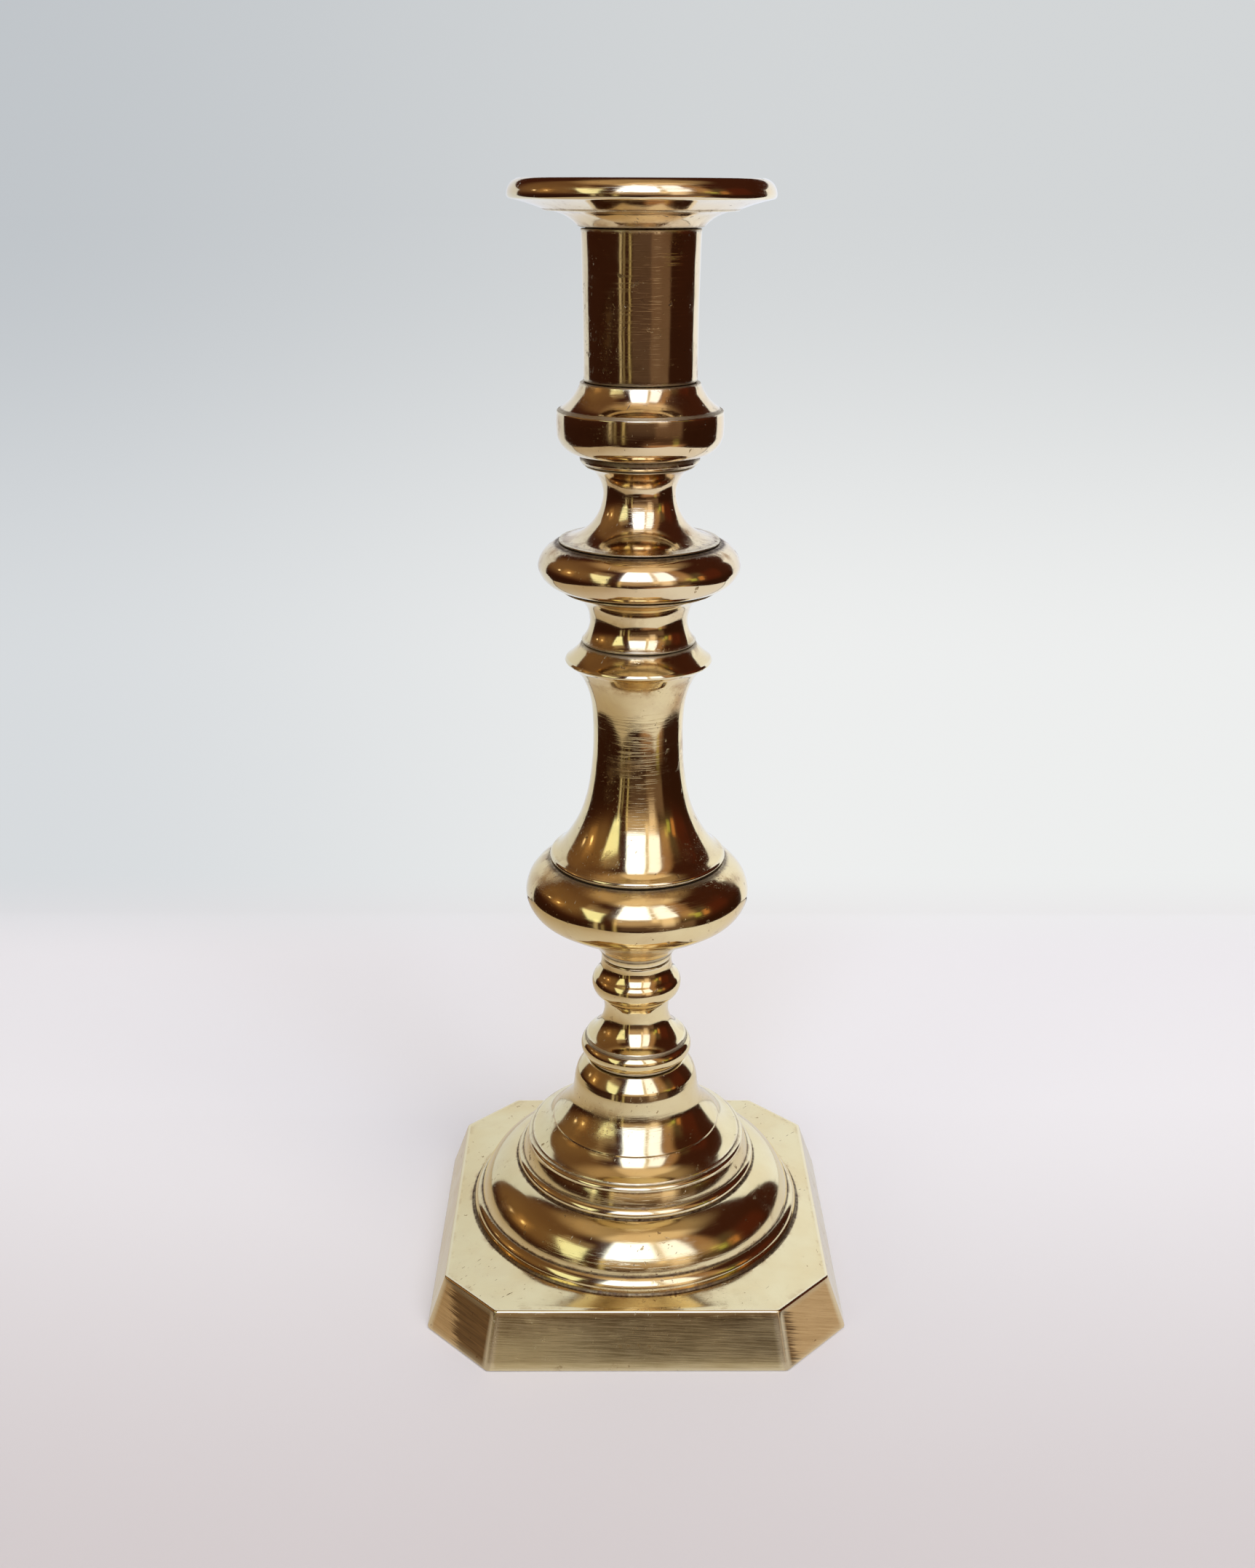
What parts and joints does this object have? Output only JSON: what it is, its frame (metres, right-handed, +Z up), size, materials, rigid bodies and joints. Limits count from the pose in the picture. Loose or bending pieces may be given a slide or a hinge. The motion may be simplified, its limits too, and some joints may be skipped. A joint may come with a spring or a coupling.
{
  "type": "push-up candlestick",
  "caption": "Turned brass candlestick on a square foot with cut corners, with a drip pan, a candle socket and a push-up ejector.",
  "frame": {"origin": "centre of the foot's resting face, on the table", "axes": "+Z up along the turned axis, -Y out of the front flat of the square foot, +X to the right seen from the front"},
  "size_m": [0.109, 0.109, 0.28],
  "materials": {
    "polished_brass": "hand-polished old brass with lathe marks, brown tarnish in the grooves",
    "cast_brass": "polished casting, brushed on the foot's flats, dull and tarnished underneath",
    "plain_brass": "unpolished, darkened brass",
    "iron": "dull iron with a little rust"
  },
  "bodies": {
    "stick": {"base_casting": "cast_brass", "pedestal_stem": "polished_brass", "bulb_knop": "polished_brass", "vase_stem": "polished_brass", "spool": "polished_brass", "upper_knop": "polished_brass", "trumpet_neck": "polished_brass", "socket_cup": "polished_brass", "socket_tube": "polished_brass", "drip_pan": "polished_brass", "stem_washer": "iron", "stem_nut": "plain_brass"},
    "pusher": {"push_rod": "iron", "ejector_disc": "plain_brass", "push_button": "plain_brass"}
  },
  "joints": [
    {"name": "ejector_slide", "type": "slide", "parent": "stick", "child": "pusher", "axis": [0, 0, 1], "range_m": [0, 0.0345]}
  ]
}
